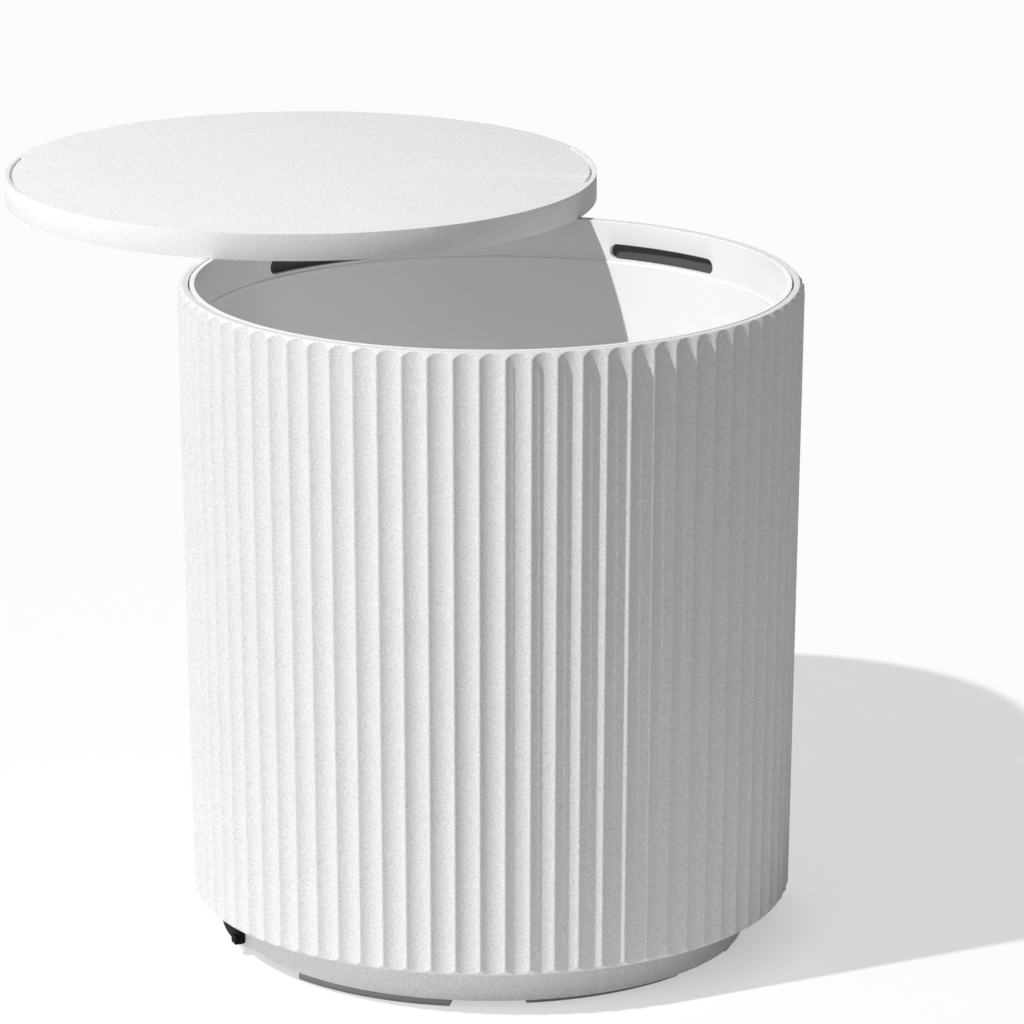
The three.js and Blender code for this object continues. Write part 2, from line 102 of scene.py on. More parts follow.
# Base and feet
base_radius = 188.5 * MM
base_ring_inside = 161.9 * MM
base_floor = 5 * MM
base_foot_rounding = 2 * MM
base_edge = 1.8 * MM
pad_outer = 184.9 * MM
pad_inner = 161.9 * MM
pad_half_span = 20
pad_edge = 0.3 * MM
pad_bearings = [0, 60, 120, 180, 241.3, 298.7]
pad_shifts = [0, 0, 0, 0, 3.6 * MM, -4.4 * MM]
boss_radius = 196 * MM
boss_half_span = 11.6
boss_flank_span = 6
boss_root = 3 * MM
boss_root_margin = 1 * MM
boss_proud = 0.02 * MM
outlet_bearing = 191
outlet_height = 17.5 * MM
fitting_hole = 9.3 * MM
fitting_hole_shares = (0.9, 1.1)

# Screws in the pads
pad_screw_circle = 173.4 * MM
pad_screw_turns = [-17, 17]
pad_screw_hole = 4.2 * MM
pad_screw_hole_ends = (-10 * MM, 5 * MM)
pad_screw_sink = 1.4 * MM
pad_screw_radius = 2 * MM
pad_screw_head_radius = 3.9 * MM
pad_screw_head_height = 2.2 * MM
pad_screw_shank_end = 13.2 * MM
pad_screw_tip = 14.5 * MM
cross_length = 4.6 * MM
cross_width = 0.9 * MM
cross_depth = 2.6 * MM

# Screws between the base and the drum
drum_screw_bearings = [30, 90, 150, 210, 270, 330]
drum_screw_circle = 175.2 * MM
drum_screw_recess = 12 * MM
drum_screw_recess_radius = 5.1 * MM
drum_screw_recess_start = -5 * MM
drum_screw_radius = 2.2 * MM
drum_screw_grip = 5.2 * MM
drum_screw_face = 3.3 * MM
drum_screw_face_radius = 3.9 * MM
drum_screw_head_radius = 4.5 * MM
drum_screw_head_edge = 0.8 * MM
socket_radius = 2.3 * MM
socket_length = 4 * MM

# Drain cap
cap_thickness = 5.5 * MM
cap_half_span = 11.3
cap_height = 22.5 * MM
cap_lift = 4.8 * MM
cap_plug_radius = 6.7 * MM
cap_plug_length = 14 * MM
cap_tab_span = 2.7
cap_tab_reach = 2.4 * MM
cap_tab_height = 6 * MM
cap_edge = 1.2 * MM
cap_tab_edge = 0.8 * MM

# Bucket
bucket_radius = 220.2 * MM
bucket_wall = 3.5 * MM
collar_depth = 30.5 * MM
collar_step = 1.2 * MM
bucket_foot_radius = 199.5 * MM
bucket_corner = 14 * MM
bucket_floor = 4 * MM
bucket_floor_fall = 3 * MM
sump_radius = 34 * MM
sump_slope = 2 * MM
sump_depth = 6 * MM
drain_hole = 12.3 * MM
slot_depth = 16.5 * MM
slot_height = 12 * MM
slot_width = 96 * MM
slot_bearings = [52.7, 127.3, -52.7, -127.3]
slot_cutter_length = 60 * MM
slot_cutter_inset = 12 * MM
bucket_edge = 1.3 * MM

# Drain fitting and stopper in the bucket
drain_bore = 9 * MM
drain_tube = 12 * MM
flange_radius = 20 * MM
flange_thickness = 2.2 * MM
flange_edge = 0.5 * MM
stopper_plug = 8.7 * MM
stopper_taper = 0.8 * MM
stopper_head = 14 * MM
stopper_head_thickness = 3.5 * MM
stopper_neck = 4 * MM
stopper_knob = 7 * MM
stopper_knob_lift = 9.5 * MM
stopper_edge = 0.8 * MM

# Top
groove_radius = 224 * MM
groove_width = 2.2 * MM
groove_depth = 3 * MM
groove_half_span = 17
whiter_side_depth = 0.4 * MM
top_turn = 5.3
top_edge = 0.8 * MM

# How finely round shapes are turned
round_steps = 312
small_steps = 64
rod_steps = 32
corner_steps = 8

# Edges sharper than the first are rounded, and edges flatter than the second are shaded smooth
bevel_angle = 50
smooth_angle = 38

# How close two points, or a point and an edge, count as the same place
weld_distance = 0.002 * MM
cut_distance = 0.00001 * MM
loop_distance = 0.05 * MM


# Tools that make and change meshes


def pick(piece):
    bpy.ops.object.select_all(action="DESELECT")
    piece.select_set(True)
    bpy.context.view_layer.objects.active = piece
    return piece


def named(name):
    piece = pick(bpy.context.object)
    piece.name = name
    piece.data.name = name
    return piece


def settle(piece):
    pick(piece)
    bpy.ops.object.transform_apply(location=True, rotation=True, scale=True)
    return piece


def apply_modifiers(piece):
    pick(piece)
    for modifier in list(piece.modifiers):
        bpy.ops.object.modifier_apply(modifier=modifier.name)
    return piece


def smooth(piece, angle=smooth_angle):
    pick(piece)
    bpy.ops.object.shade_smooth_by_angle(angle=math.radians(angle))
    return piece


def bevel(piece, width, segments=3):
    made = piece.modifiers.new("edges", "BEVEL")
    made.width = width
    made.segments = segments
    made.limit_method = "ANGLE"
    made.angle_limit = math.radians(bevel_angle)
    return apply_modifiers(piece)


def combine(piece, other, how):
    made = piece.modifiers.new("combine", "BOOLEAN")
    made.operation = how
    made.solver = "EXACT"
    made.object = other
    apply_modifiers(piece)
    bpy.data.objects.remove(other, do_unlink=True)
    return piece


def turned(name, profile, steps=round_steps):
    """Turns a profile of (radius, height) points about the Z axis."""
    bpy.ops.object.select_all(action="DESELECT")
    bpy.ops.mesh.primitive_plane_add(size=MM)
    piece = named(name)
    bpy.ops.object.mode_set(mode="EDIT")
    bpy.ops.mesh.select_all(action="SELECT")
    bpy.ops.mesh.merge(type="CENTER")
    bpy.ops.transform.translate(value=(profile[0][0], 0, profile[0][1]))
    here = profile[0]
    for point in profile[1:]:
        move = (point[0] - here[0], 0, point[1] - here[1])
        bpy.ops.mesh.extrude_region_move(TRANSFORM_OT_translate={"value": move})
        here = point
    bpy.ops.mesh.select_all(action="SELECT")
    bpy.ops.mesh.spin(steps=steps, angle=2 * math.pi, center=(0, 0, 0), axis=(0, 0, 1))
    tidy_up()
    return piece


def tidy_up():
    bpy.ops.mesh.select_all(action="SELECT")
    bpy.ops.mesh.remove_doubles(threshold=weld_distance)
    bpy.ops.mesh.normals_make_consistent(inside=False)
    bpy.ops.object.mode_set(mode="OBJECT")


def sector(piece, half_span):
    """Keeps what lies within a half span of +X, in degrees, and closes the cut ends."""
    pick(piece)
    turn = math.radians(half_span)
    for side in (1, -1):
        bpy.ops.object.mode_set(mode="EDIT")
        bpy.ops.mesh.select_all(action="SELECT")
        bpy.ops.mesh.bisect(
            plane_co=(0, 0, 0),
            plane_no=(-math.sin(turn), side * math.cos(turn), 0),
            use_fill=True,
            clear_outer=True,
            threshold=cut_distance,
        )
        bpy.ops.object.mode_set(mode="OBJECT")
    bpy.ops.object.mode_set(mode="EDIT")
    tidy_up()
    return piece


def ring_profile(inner, outer, low, high):
    return [(inner, low), (outer, low), (outer, high), (inner, high), (inner, low)]


def turn_to(piece, bearing):
    piece.rotation_euler = (0, 0, math.radians(bearing))
    return settle(piece)


def twin(piece, name):
    other = piece.copy()
    other.data = piece.data.copy()
    other.name = name
    other.data.name = name
    bpy.context.scene.collection.objects.link(other)
    return other


def outward_rod(name, radius, start, end, height, bearing):
    """A round rod that runs straight out from the drum's axis."""
    turn = math.radians(bearing)
    middle = (start + end) / 2
    bpy.ops.object.select_all(action="DESELECT")
    bpy.ops.mesh.primitive_cylinder_add(
        vertices=small_steps,
        radius=radius,
        depth=end - start,
        location=(middle * math.cos(turn), middle * math.sin(turn), height),
        rotation=(0, math.pi / 2, turn),
    )
    return settle(named(name))


def upright_rod(name, radius, low, high, circle, bearing):
    """A round rod that stands at this radius and bearing from the drum's axis."""
    turn = math.radians(bearing)
    bpy.ops.object.select_all(action="DESELECT")
    bpy.ops.mesh.primitive_cylinder_add(
        vertices=rod_steps,
        radius=radius,
        depth=high - low,
        location=(circle * math.cos(turn), circle * math.sin(turn), (low + high) / 2),
    )
    return settle(named(name))


def corner(radius, height, rounding, way):
    """Points round the lower corner of a wall, outward and up, or back down when way is -1."""
    points = []
    for step in range(corner_steps + 1):
        angle = -math.pi / 2 + math.pi / 2 * step / corner_steps
        across = radius - rounding + rounding * math.cos(angle)
        points.append((across, height + rounding + rounding * math.sin(angle)))
    return points[::way]


# Finishes


class Wire:
    """A socket of a node tree that takes part in sums."""

    def __init__(self, finish, socket):
        self.finish = finish
        self.socket = socket

    def maths(self, operation, first, second):
        return self.finish.node("ShaderNodeMath", {"operation": operation}, {0: first, 1: second})

    def __add__(self, other):
        return self.maths("ADD", self, other)

    def __sub__(self, other):
        return self.maths("SUBTRACT", self, other)

    def __mul__(self, other):
        return self.maths("MULTIPLY", self, other)

    def __lt__(self, other):
        return self.maths("LESS_THAN", self, other)

    def __gt__(self, other):
        return self.maths("GREATER_THAN", self, other)

    __radd__ = __add__


class Finish:
    """A material whose nodes are made one by one."""

    def __init__(self, name):
        self.material = bpy.data.materials.new(name)
        self.material.use_nodes = True
        self.nodes = self.material.node_tree.nodes
        self.links = self.material.node_tree.links
        self.shader = self.nodes["Principled BSDF"]
        self.place = self.node("ShaderNodeTexCoord", {}, {}, "Object")

    def node(self, kind, settings, inputs, output=0):
        made = self.nodes.new(kind)
        for key, value in settings.items():
            setattr(made, key, value)
        for key, value in inputs.items():
            self.feed(made.inputs[key], value)
        return Wire(self, made.outputs[output])

    def feed(self, socket, value):
        if isinstance(value, Wire):
            self.links.new(value.socket, socket)
        else:
            socket.default_value = value

    def noise(self, scale, detail, roughness=0.5):
        sockets = {"Vector": self.place, "Scale": scale, "Detail": detail, "Roughness": roughness}
        return self.node("ShaderNodeTexNoise", {}, sockets)

    def blend(self, share, first, second):
        sockets = {"Factor": share, 6: first, 7: second}
        return self.node("ShaderNodeMix", {"data_type": "RGBA"}, sockets, 2)

    def span(self, value, low, high, start=0, end=1):
        """Goes from start to end while the value goes from low to high."""
        sockets = {"Value": value, "From Min": low, "From Max": high}
        return self.node("ShaderNodeMapRange", {}, {**sockets, "To Min": start, "To Max": end})

    def distance_from(self, across, along):
        """How far a point lies from an upright line."""
        parts = self.node("ShaderNodeSeparateXYZ", {}, {"Vector": self.place})
        x, y = (Wire(self, parts.socket.node.outputs[key]) for key in "XY")
        squares = (x - across) * (x - across) + (y - along) * (y - along)
        return self.node("ShaderNodeMath", {"operation": "SQRT"}, {0: squares})

    def inner_wall(self):
        """1 on the dark inside of the drum, from a little under its rim down."""
        up = self.node("ShaderNodeSeparateXYZ", {}, {"Vector": self.place}, "Z")
        slant = (rim_inside - foot_inside) / (rim_height - shell_floor_top)
        edge = up * slant + (rim_inside - rim_height * slant + dark_inside_reach)
        inside = (self.distance_from(0, 0) < edge) * (up < rim_height - dark_inside_depth)
        return inside * (up > shell_floor_top - dark_inside_under_floor)

    def spots(self, scale, chance, size):
        """Scattered round spots: 1 inside a spot, 0 outside it."""
        sockets = {"Vector": self.place, "Scale": scale}
        cells = self.node("ShaderNodeTexVoronoi", {}, sockets, "Distance")
        colour = Wire(self, cells.socket.node.outputs["Color"])
        draw = self.node("ShaderNodeSeparateColor", {}, {"Color": colour}, "Red")
        return (draw < chance) * (cells < size)

    def bump(self, height, distance, strength):
        sockets = {"Height": height, "Distance": distance, "Strength": strength}
        return self.node("ShaderNodeBump", {}, sockets, "Normal")

    def set(self, **sockets):
        for key, value in sockets.items():
            self.feed(self.shader.inputs[key.replace("_", " ")], value)
        return self


def grey(level, warmth=0.0):
    return (level * (1 + warmth), level, level * (1 - warmth), 1.0)


# How light the stone is, how strong its grain is, and how its dark specks look
stone_levels = (0.835, 0.865)
stone_warmth = 0.003
grain_levels = (0.55, 1.2)
grain_share = 0.42
speck_level = 0.5
speck_share = 0.45
dark_inside_levels = (0.085, 0.115)


def stone(name, tone, dark_inside=False, whiter_side=0.0):
    """Pale cast stone with a fine sandy grain, a few fine dark specks and small pits.

    It can be dark on the inside of the drum, and whiter on the side of the top.
    """
    finish = Finish(name)
    mottle = finish.noise(11.0, detail=3.0)
    sand = finish.noise(750.0, detail=2.0, roughness=0.6)
    fine = finish.noise(1600.0, detail=1.0)
    body = finish.blend(mottle, *[grey(level * tone, stone_warmth) for level in stone_levels])
    grain = finish.blend(finish.span(sand, 0.3, 0.7), *map(grey, grain_levels))
    colour = finish.node(
        "ShaderNodeMix",
        {"data_type": "RGBA", "blend_type": "MULTIPLY"},
        {"Factor": grain_share, 6: body, 7: grain},
        2,
    )
    specks = finish.spots(620.0, chance=0.05, size=0.3)
    colour = finish.blend(specks * speck_share, colour, grey(speck_level, warmth=0.01))
    skin = finish.bump(sand + fine * 0.4, distance=0.16 * MM, strength=0.5)
    # The side of the top is blended towards white.
    if whiter_side:
        spot = finish.distance_from(top_centre.x, top_centre.y)
        edge = (spot > top_radius - whiter_side_depth) * whiter_side
        colour = finish.blend(edge, colour, grey(1.0))
    # The inside of the drum is made dark from a little under its rim down.
    if dark_inside:
        dark_inside_colour = finish.blend(mottle, *map(grey, dark_inside_levels))
        colour = finish.blend(finish.inner_wall(), colour, dark_inside_colour)
    finish.set(Base_Color=colour, Roughness=0.68 + sand * 0.2, Normal=skin)
    return finish.set(Specular_IOR_Level=0.12)


def bucket_plastic():
    """Smooth white moulding with a faint satin ripple."""
    finish = Finish("bucket_plastic")
    cloud = finish.noise(9.0, detail=2.0)
    skin = finish.noise(900.0, detail=1.0)
    colour = finish.blend(cloud, grey(0.915, warmth=-0.002), grey(0.935, warmth=-0.002))
    ripple = finish.bump(skin, distance=0.02 * MM, strength=0.2)
    return finish.set(Base_Color=colour, Roughness=0.2 + cloud * 0.08, Normal=ripple)


def rubber(name, level, roughness, dust, sheen=0.2):
    finish = Finish(name)
    cloud = finish.noise(60.0, detail=3.0)
    skin = finish.noise(2200.0, detail=2.0)
    colour = finish.blend(cloud, grey(level), grey(level * (1 + dust)))
    finish.set(Base_Color=colour, Roughness=roughness + cloud * 0.15)
    pores = finish.bump(skin, distance=0.05 * MM, strength=0.4)
    return finish.set(Specular_IOR_Level=sheen, Normal=pores)


def moulded_plastic(name, colour_low, colour_high):
    finish = Finish(name)
    cloud = finish.noise(40.0, detail=2.0)
    skin = finish.noise(1400.0, detail=2.0)
    return finish.set(
        Base_Color=finish.blend(cloud, colour_low, colour_high),
        Roughness=0.4 + cloud * 0.12,
        Normal=finish.bump(skin, distance=0.03 * MM, strength=0.4),
    )


def steel():
    finish = Finish("steel")
    wear = finish.noise(500.0, detail=3.0)
    finish.set(
        Base_Color=finish.blend(wear, grey(0.55), grey(0.68)),
        Roughness=0.22 + wear * 0.2,
        Normal=finish.bump(wear, distance=0.02 * MM, strength=0.3),
    )
    return finish.set(Metallic=1.0)


pipe_colours = (grey(0.42, warmth=-0.02), grey(0.47, warmth=-0.02))
fitting_colours = (grey(0.018), grey(0.026))

finishes = {
    "stone_composite": stone("stone_composite", tone=0.955),
    "drum_stone": stone("drum_stone", tone=0.955, dark_inside=True),
    # Painted light: the base's stone is a little paler than the drum's, standing in for light
    # that the base lacks in the drum's shade.
    "base_stone": stone("base_stone", tone=0.98),
    "top_stone": stone("top_stone", tone=1.05, whiter_side=0.35),
    "bucket_plastic": bucket_plastic(),
    "pad_rubber": rubber("pad_rubber", level=0.31, roughness=0.6, dust=0.12),
    "seal_rubber": rubber("seal_rubber", level=0.035, roughness=0.55, dust=0.4),
    "cap_rubber": rubber("cap_rubber", level=0.005, roughness=0.6, dust=0.4, sheen=0.07),
    "pipe_plastic": moulded_plastic("pipe_plastic", *pipe_colours),
    "fitting_plastic": moulded_plastic("fitting_plastic", *fitting_colours),
    "steel": steel(),
}


def dress(piece, finish):
    piece.data.materials.clear()
    piece.data.materials.append(finishes[finish].material)


def place(piece, body, slot, *nodes, finish=None):
    dress(piece, finish or slot)
    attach(piece, body)
    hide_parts(*nodes)


# Camera, sun, sky and floor

camera_height = 1563.97 * MM
camera_back = -4672.81 * MM
camera_side = 15.44 * MM
camera_pitch = 14.96
camera_lens = 230.41
camera_sensor = 36
camera_clip = (0.1, 100)

sun_towards = Vector((-0.553, -0.3154, 0.772))
sun_strength = 3.22
sun_width = 1.2
sun_distance = 3
sky_level = 0.055
sky_lean = (-0.13, -0.11, 0.2)
backdrop_level = 0.965

# What the floor throws back, and the light that it gives close to the base
floor_size = 40
floor_bounce = 0.84
floor_bounce_far = 0.57
floor_near = 0.5
floor_far = 1.6
ring_near = 0.215
ring_far = 0.25
ring_glow = 0.14

# What the camera sees of the floor, and the soft shade under the base
contact_middle = (25 * MM, 13 * MM)
contact_near = 150 * MM
contact_far = 228 * MM
contact_shade = 0.72
floor_shade = 0.377
floor_glow = 0.602


def make_camera():
    data = bpy.data.cameras.new("camera")
    data.lens = camera_lens
    data.sensor_width = camera_sensor
    data.clip_start, data.clip_end = camera_clip
    camera = bpy.data.objects.new("camera", data)
    camera.location = (camera_side, camera_back, camera_height)
    camera.rotation_euler = (math.radians(90 - camera_pitch), 0, 0)
    bpy.context.scene.collection.objects.link(camera)
    bpy.context.scene.camera = camera


def make_sun():
    data = bpy.data.lights.new("sun", "SUN")
    data.energy = sun_strength
    data.angle = math.radians(sun_width)
    sun = bpy.data.objects.new("sun", data)
    sun.rotation_mode = "QUATERNION"
    sun.rotation_quaternion = sun_towards.to_track_quat("Z", "Y")
    sun.location = sun_towards * sun_distance
    bpy.context.scene.collection.objects.link(sun)


def make_sky():
    world = bpy.data.worlds.new("sky")
    bpy.context.scene.world = world
    world.use_nodes = True
    nodes = world.node_tree.nodes
    links = world.node_tree.links
    nodes.clear()
    path = nodes.new("ShaderNodeLightPath")
    seen = nodes.new("ShaderNodeMath")
    seen.operation = "MAXIMUM"
    links.new(path.outputs["Is Camera Ray"], seen.inputs[0])
    links.new(path.outputs["Is Glossy Ray"], seen.inputs[1])
    where = nodes.new("ShaderNodeTexCoord")
    lean = nodes.new("ShaderNodeVectorMath")
    lean.operation = "DOT_PRODUCT"
    lean.inputs[1].default_value = sky_lean
    links.new(where.outputs["Generated"], lean.inputs[0])
    level = nodes.new("ShaderNodeMath")
    level.operation = "ADD"
    level.use_clamp = True
    level.inputs[1].default_value = sky_level
    links.new(lean.outputs["Value"], level.inputs[0])
    soft = nodes.new("ShaderNodeBackground")
    soft.inputs["Color"].default_value = grey(1)
    links.new(level.outputs[0], soft.inputs["Strength"])
    plain = nodes.new("ShaderNodeBackground")
    plain.inputs["Color"].default_value = grey(backdrop_level)
    mix = nodes.new("ShaderNodeMixShader")
    links.new(seen.outputs[0], mix.inputs["Fac"])
    links.new(soft.outputs[0], mix.inputs[1])
    links.new(plain.outputs[0], mix.inputs[2])
    output = nodes.new("ShaderNodeOutputWorld")
    links.new(mix.outputs[0], output.inputs["Surface"])


def make_floor():
    """A white floor. The camera sees it almost shadeless; what it throws back is set apart."""
    bpy.ops.object.select_all(action="DESELECT")
    bpy.ops.mesh.primitive_plane_add(size=floor_size, location=(0, 0, floor_height))
    floor = settle(named("floor"))
    finish = Finish("floor")
    near = finish.distance_from(0, 0)
    throw = finish.span(near, floor_near, floor_far, floor_bounce, floor_bounce_far)
    ring = finish.span(near, ring_near, ring_far, ring_glow, 0)
    finish.set(Base_Color=throw, Roughness=0.9, Emission_Color=ring, Emission_Strength=1)
    finish.set(Specular_IOR_Level=0)
    contact = finish.distance_from(*contact_middle)
    dim = finish.span(contact, contact_near, contact_far, contact_shade, 1)
    shown = finish.node(
        "ShaderNodeBsdfPrincipled",
        {},
        {
            "Base Color": dim * floor_shade,
            "Roughness": 1.0,
            "Specular IOR Level": 0.0,
            "Emission Color": dim * floor_glow,
            "Emission Strength": 1.0,
        },
    )
    seen = finish.node("ShaderNodeLightPath", {}, {}, "Is Camera Ray")
    bounce = Wire(finish, finish.shader.outputs[0])
    mix = finish.node("ShaderNodeMixShader", {}, {0: seen, 1: bounce, 2: shown})
    finish.links.new(mix.socket, finish.nodes["Material Output"].inputs["Surface"])
    floor.data.materials.append(finish.material)


make_camera()
make_sun()
make_sky()
make_floor()
bpy.context.scene.view_settings.view_transform = "Standard"


# Drum


def flute_dip(share):
    """How deep the flute is, this share of the way from its ridge to its middle."""
    half = math.pi * rim_radius / flute_count
    sweep = (half * half + flute_depth * flute_depth) / (2 * flute_depth)
    slant = math.asin(half / sweep)
    across = share * half
    if across < ridge_radius * math.sin(slant):
        return ridge_radius / math.cos(slant) - math.sqrt(ridge_radius**2 - across**2)
    return math.sqrt(sweep**2 - (half - across) ** 2) - (sweep - flute_depth)


def soften(points):
    """Swaps each corner of a chain of points for three points round it."""
    chain = [points[0]]
    for before, corner, after in zip(points, points[1:], points[2:]):
        ends = []
        for other in (before, after):
            across, up = other[0] - corner[0], other[1] - corner[1]
            share = min(0.4, corner_softness / math.hypot(across, up))
            ends.append((corner[0] + across * share, corner[1] + up * share))
        middle = [(ends[0][k] + ends[1][k]) / 4 + corner[k] / 2 for k in (0, 1)]
        chain += [ends[0], tuple(middle), ends[1]]
    return chain + [points[-1]]


def flute_profile(dip):
    fall = bevel_height * (1 - dip / bevel_reach)
    return soften(
        [
            (foot_flat, drum_foot_height),
            (drum_foot_radius - bevel_reach, drum_foot_height),
            (drum_foot_radius - dip, drum_foot_height + fall),
            (rim_radius - dip, rim_height - fall),
            (rim_radius - bevel_reach, rim_height),
            (rim_flat, rim_height),
        ]
    )


def make_drum():
    """A grid is rolled up into the fluted wall, then extruded into the rim, inside and floor."""
    half = half_flute_shares
    shares = [share / 2 for share in half] + [0.5] + [1 - share / 2 for share in half[:0:-1]]
    profiles = [flute_profile(flute_dip(1 - abs(2 * share - 1))) for share in shares]
    steps = len(shares)
    columns = flute_count * steps
    rows = len(profiles[0])
    bpy.ops.object.select_all(action="DESELECT")
    bpy.ops.mesh.primitive_grid_add(x_subdivisions=columns, y_subdivisions=rows - 1, size=2)
    drum = named("drum")
    first_ridge = front_flute_bearing - 180 / flute_count
    for index, vertex in enumerate(drum.data.vertices):
        row, column = divmod(index, columns + 1)
        flute, step = divmod(column % columns, steps)
        turn = math.radians(first_ridge + (flute + shares[step]) * 360 / flute_count)
        radius, height = profiles[step][row]
        vertex.co = (radius * math.cos(turn), radius * math.sin(turn), height)
    bpy.ops.object.mode_set(mode="EDIT")
    bpy.ops.mesh.select_all(action="SELECT")
    bpy.ops.mesh.remove_doubles(threshold=weld_distance)
    extrude_loop(drum, rim_height, rim_flat, rim_inside, 0)
    extrude_loop(drum, rim_height, rim_inside, foot_inside, shell_floor_top - rim_height)
    extrude_loop(drum, shell_floor_top, foot_inside, cup_hole, 0)
    extrude_loop(drum, shell_floor_top, cup_hole, cup_hole, drum_foot_height - shell_floor_top)
    extrude_loop(drum, drum_foot_height, cup_hole, foot_flat, 0)
    tidy_up()
    return drum


def extrude_loop(piece, height, radius, new_radius, drop):
    """Extrudes the open ring of edges at this height and radius to a new radius and height."""
    bpy.ops.object.mode_set(mode="OBJECT")
    used = {}
    for polygon in piece.data.polygons:
        for key in polygon.edge_keys:
            used[key] = used.get(key, 0) + 1
    for group in (piece.data.vertices, piece.data.edges, piece.data.polygons):
        group.foreach_set("select", [False] * len(group))
    for edge in piece.data.edges:
        if used.get(edge.key, 0) != 1:
            continue
        ends = [piece.data.vertices[index].co for index in edge.vertices]
        gaps = [gap for end in ends for gap in (end.z - height, end.xy.length - radius)]
        if all(abs(gap) < loop_distance for gap in gaps):
            edge.select = True
            for index in edge.vertices:
                piece.data.vertices[index].select = True
    bpy.ops.object.mode_set(mode="EDIT")
    bpy.ops.mesh.select_mode(type="EDGE")
    bpy.ops.mesh.extrude_edges_move(TRANSFORM_OT_translate={"value": (0, 0, drop)})
    share = new_radius / radius
    bpy.ops.transform.resize(value=(share, share, 1), center_override=(0, 0, 0))
    bpy.ops.mesh.select_mode(type="VERT")


place(
    smooth(make_drum(), angle=30), "stand", "stone_composite", "fluted_shell", finish="drum_stone"
)


# Base, feet and screws


def make_boss():
    """The raised face for the drain cap, with flanks that slant back into the base's side."""
    root = base_radius - boss_root
    profile = ring_profile(root, boss_radius, base_foot_rounding, base_high.z)
    boss = sector(turned("boss", profile), boss_half_span + boss_flank_span)
    for vertex in boss.data.vertices:
        bearing = abs(math.degrees(math.atan2(vertex.co.y, vertex.co.x)))
        radius = vertex.co.xy.length
        slide = (bearing - boss_half_span) / boss_flank_span
        if slide > 0 and radius > root + boss_root_margin:
            share = 1 - (boss_radius - root - boss_proud) * min(1, slide) / boss_radius
            vertex.co.x *= share
            vertex.co.y *= share
    return turn_to(boss, outlet_bearing)


def make_base():
    profile = [
        (0, 0),
        (base_radius, 0),
        (base_radius, base_high.z),
        (base_ring_inside, base_high.z),
        (base_ring_inside, base_floor),
        (0, base_floor),
    ]
    base = combine(turned("base", profile), make_boss(), "UNION")
    start = base_ring_inside * fitting_hole_shares[0]
    end = boss_radius * fitting_hole_shares[1]
    hole = outward_rod("hole", fitting_hole, start, end, outlet_height, outlet_bearing)
    base = bevel(combine(base, hole, "DIFFERENCE"), base_edge, segments=4)
    for bearing in drum_screw_bearings:
        recess = upright_rod(
            "recess",
            drum_screw_recess_radius,
            drum_screw_recess_start,
            drum_screw_recess,
            drum_screw_circle,
            bearing,
        )
        base = combine(base, recess, "DIFFERENCE")
    return base


place(smooth(make_base()), "stand", "stone_composite", "round_base", finish="base_stone")


def make_pad_screw():
    """A countersunk screw with a cross recess, made where it sits in a pad on +X."""
    head = pad_low.z + pad_screw_sink
    profile = [
        (0, head),
        (pad_screw_head_radius, head),
        (pad_screw_radius, head + pad_screw_head_height),
        (pad_screw_radius, head + pad_screw_shank_end),
        (0, head + pad_screw_tip),
    ]
    screw = turned("pad_screw", profile, rod_steps)
    for turn in (0, math.pi / 2):
        bpy.ops.object.select_all(action="DESELECT")
        bpy.ops.mesh.primitive_cube_add(size=1, location=(0, 0, head), rotation=(0, 0, turn))
        slot = named("slot")
        slot.scale = (cross_length, cross_width, cross_depth)
        screw = combine(screw, settle(slot), "DIFFERENCE")
    screw.location = (pad_screw_circle, 0, 0)
    return smooth(settle(screw))


def make_drum_screw():
    """A round head with a six-sided socket, made on +X in its recess in the base."""
    low = drum_screw_recess - drum_screw_face
    high = drum_screw_recess - seat_gap
    end = drum_foot_height + drum_screw_grip
    profile = [
        (0, low),
        (drum_screw_face_radius, low),
        (drum_screw_head_radius, low + drum_screw_head_edge),
        (drum_screw_head_radius, high),
        (drum_screw_radius, high),
        (drum_screw_radius, end),
        (0, end),
    ]
    screw = turned("drum_screw", profile, rod_steps)
    bpy.ops.object.select_all(action="DESELECT")
    bpy.ops.mesh.primitive_cylinder_add(
        vertices=6, radius=socket_radius, depth=socket_length, location=(0, 0, low)
    )
    screw = combine(screw, named("socket"), "DIFFERENCE")
    screw.location = (drum_screw_circle, 0, 0)
    return smooth(settle(screw))


def make_pad():
    profile = ring_profile(pad_inner, pad_outer, pad_low.z, pad_high.z)
    pad = bevel(sector(turned("pad", profile), pad_half_span), pad_edge, segments=2)
    for turn in pad_screw_turns:
        hole = upright_rod("hole", pad_screw_hole, *pad_screw_hole_ends, pad_screw_circle, turn)
        pad = combine(pad, hole, "DIFFERENCE")
    return pad


def at_pad(piece, index):
    piece.location = (pad_shifts[index], 0, 0)
    return turn_to(settle(piece), pad_bearings[index])


first_pad = make_pad()
for index in range(len(pad_bearings)):
    pad = at_pad(twin(first_pad, f"pad_{index + 1}"), index)
    place(smooth(pad), "stand", "pad_rubber", f"foot_pad_{index + 1}")
bpy.data.objects.remove(first_pad, do_unlink=True)

first_screw = make_pad_screw()
for index in range(2 * len(pad_bearings)):
    name = f"pad_screw_{index + 1}"
    screw = turn_to(twin(first_screw, name), pad_screw_turns[index % 2])
    place(at_pad(screw, index // 2), "stand", "steel", f"foot_{name}")
bpy.data.objects.remove(first_screw, do_unlink=True)

first_screw = make_drum_screw()
for index, bearing in enumerate(drum_screw_bearings):
    screw = turn_to(twin(first_screw, f"screw_{index + 1}"), bearing)
    place(screw, "stand", "steel", f"drum_screw_{index + 1}")
bpy.data.objects.remove(first_screw, do_unlink=True)


# Drain cap


